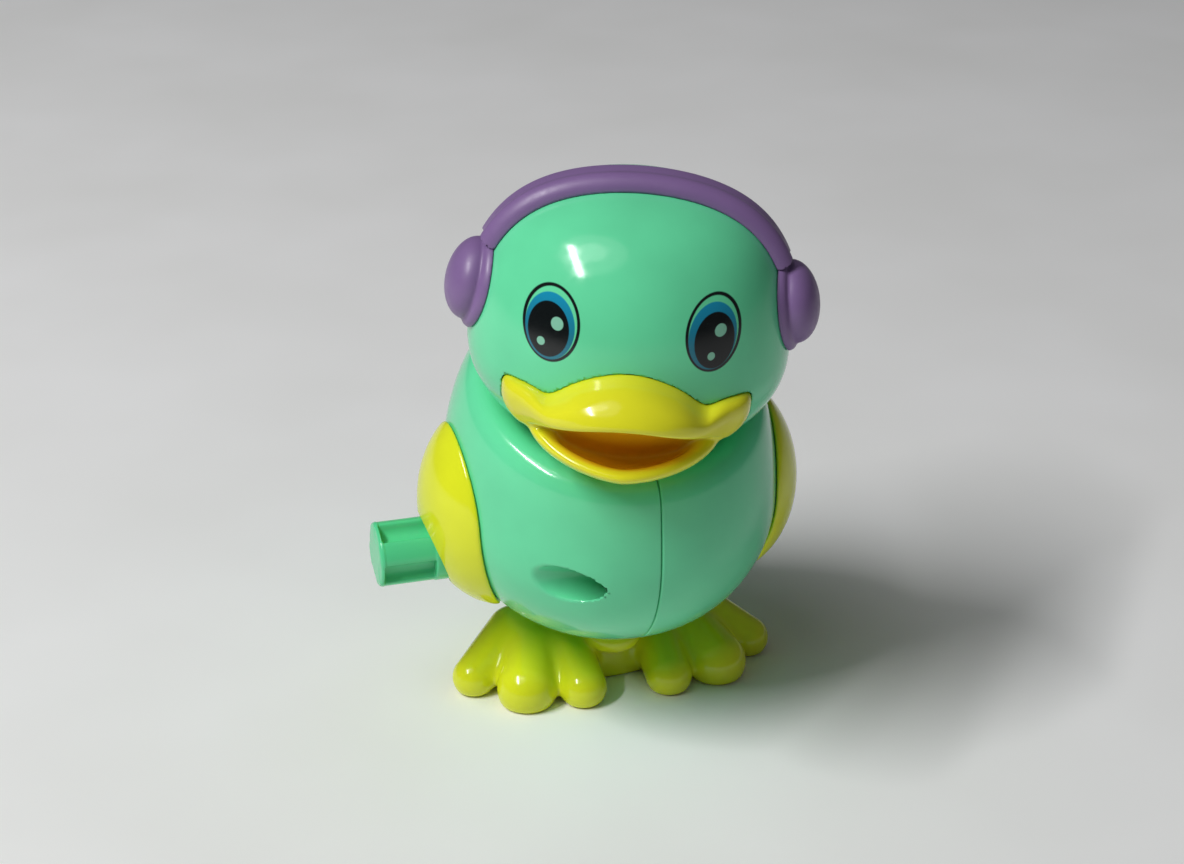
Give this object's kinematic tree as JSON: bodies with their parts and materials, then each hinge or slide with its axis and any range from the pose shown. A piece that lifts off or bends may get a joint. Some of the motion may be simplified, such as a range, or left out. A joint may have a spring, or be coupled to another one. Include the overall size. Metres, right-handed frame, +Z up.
{
  "type": "wind-up toy duck",
  "caption": "Hopping clockwork duck with a turning head, headphones, a winding knob and sprung feet.",
  "frame": {"origin": "on the flat sole of the feet, straight under the body's vertical axis less 2 mm to the front", "axes": "+Z up, the duck faces -Y, +X is its left side; the winding knob is on -X"},
  "size_m": [0.0745, 0.0816, 0.0997],
  "materials": {
    "green_shell": "glossy moulded plastic",
    "green_knob": "glossy moulded plastic",
    "yellow_plastic": "glossy moulded plastic",
    "yellow_beak": "glossy moulded plastic, satin inside the mouth",
    "purple_plastic": "satin moulded plastic",
    "white_plastic": "plain moulded plastic",
    "gear_plastic": "natural acetal",
    "plate_steel": "stamped zinc-plated sheet",
    "bright_steel": "turned bright steel",
    "spring_steel": "blued spring strip",
    "screw_steel": "zinc-plated screws"
  },
  "bodies": {
    "body": {"body_shell_right": "green_shell", "body_shell_left": "green_shell", "wing_right": "yellow_plastic", "wing_left": "yellow_plastic", "body_screws": "screw_steel", "neck_post": "white_plastic", "neck_retainer": "white_plastic", "neck_screw": "screw_steel", "motor_plate_right": "plate_steel", "motor_plate_left": "plate_steel", "motor_pillars": "bright_steel", "motor_screws": "screw_steel", "mainspring": "spring_steel", "foot_hinge_pin": "bright_steel", "foot_return_spring": "spring_steel"},
    "head": {"head_shell_front": "green_shell", "head_shell_back": "green_shell", "head_screws": "screw_steel", "beak": "yellow_beak", "headband": "purple_plastic", "ear_cup_right": "purple_plastic", "ear_cup_left": "purple_plastic"},
    "winder": {"winding_knob": "green_knob", "winding_arbor": "bright_steel", "great_wheel": "gear_plastic"},
    "second_axle": {"second_gear": "gear_plastic"},
    "third_axle": {"third_gear": "gear_plastic"},
    "kicker": {"kicker_shaft": "gear_plastic", "kicker_cam": "gear_plastic"},
    "feet": {"feet_base": "yellow_plastic"}
  },
  "joints": [
    {"name": "knob_spin", "type": "hinge", "parent": "body", "child": "winder", "pos_m": [0, 0.002, 0.0295], "axis": [1, 0, 0], "continuous": true},
    {"name": "second_spin", "type": "hinge", "parent": "body", "child": "second_axle", "pos_m": [0, 0.01049, 0.03799], "axis": [1, 0, 0], "continuous": true},
    {"name": "third_spin", "type": "hinge", "parent": "body", "child": "third_axle", "pos_m": [0, 0.01492, 0.02847], "axis": [1, 0, 0], "continuous": true},
    {"name": "kicker_spin", "type": "hinge", "parent": "body", "child": "kicker", "pos_m": [0, 0.01112, 0.02031], "axis": [1, 0, 0], "continuous": true},
    {"name": "head_turn", "type": "hinge", "parent": "body", "child": "head", "pos_m": [0, -0.0093, 0.0696], "axis": [0, -0.2385, 0.9711], "range_deg": [-22.5, 57.5]},
    {"name": "foot_hop", "type": "hinge", "parent": "body", "child": "feet", "pos_m": [0, 0.02, 0.009], "axis": [1, 0, 0], "range_deg": [0, 8], "stiffness_Nm_per_rad": 0.02, "springref_deg": -8.59}
  ],
  "couplings": [
    {"joint": "second_spin", "follows": "knob_spin", "ratio": -3},
    {"joint": "third_spin", "follows": "knob_spin", "ratio": 7.5},
    {"joint": "kicker_spin", "follows": "knob_spin", "ratio": -15}
  ]
}
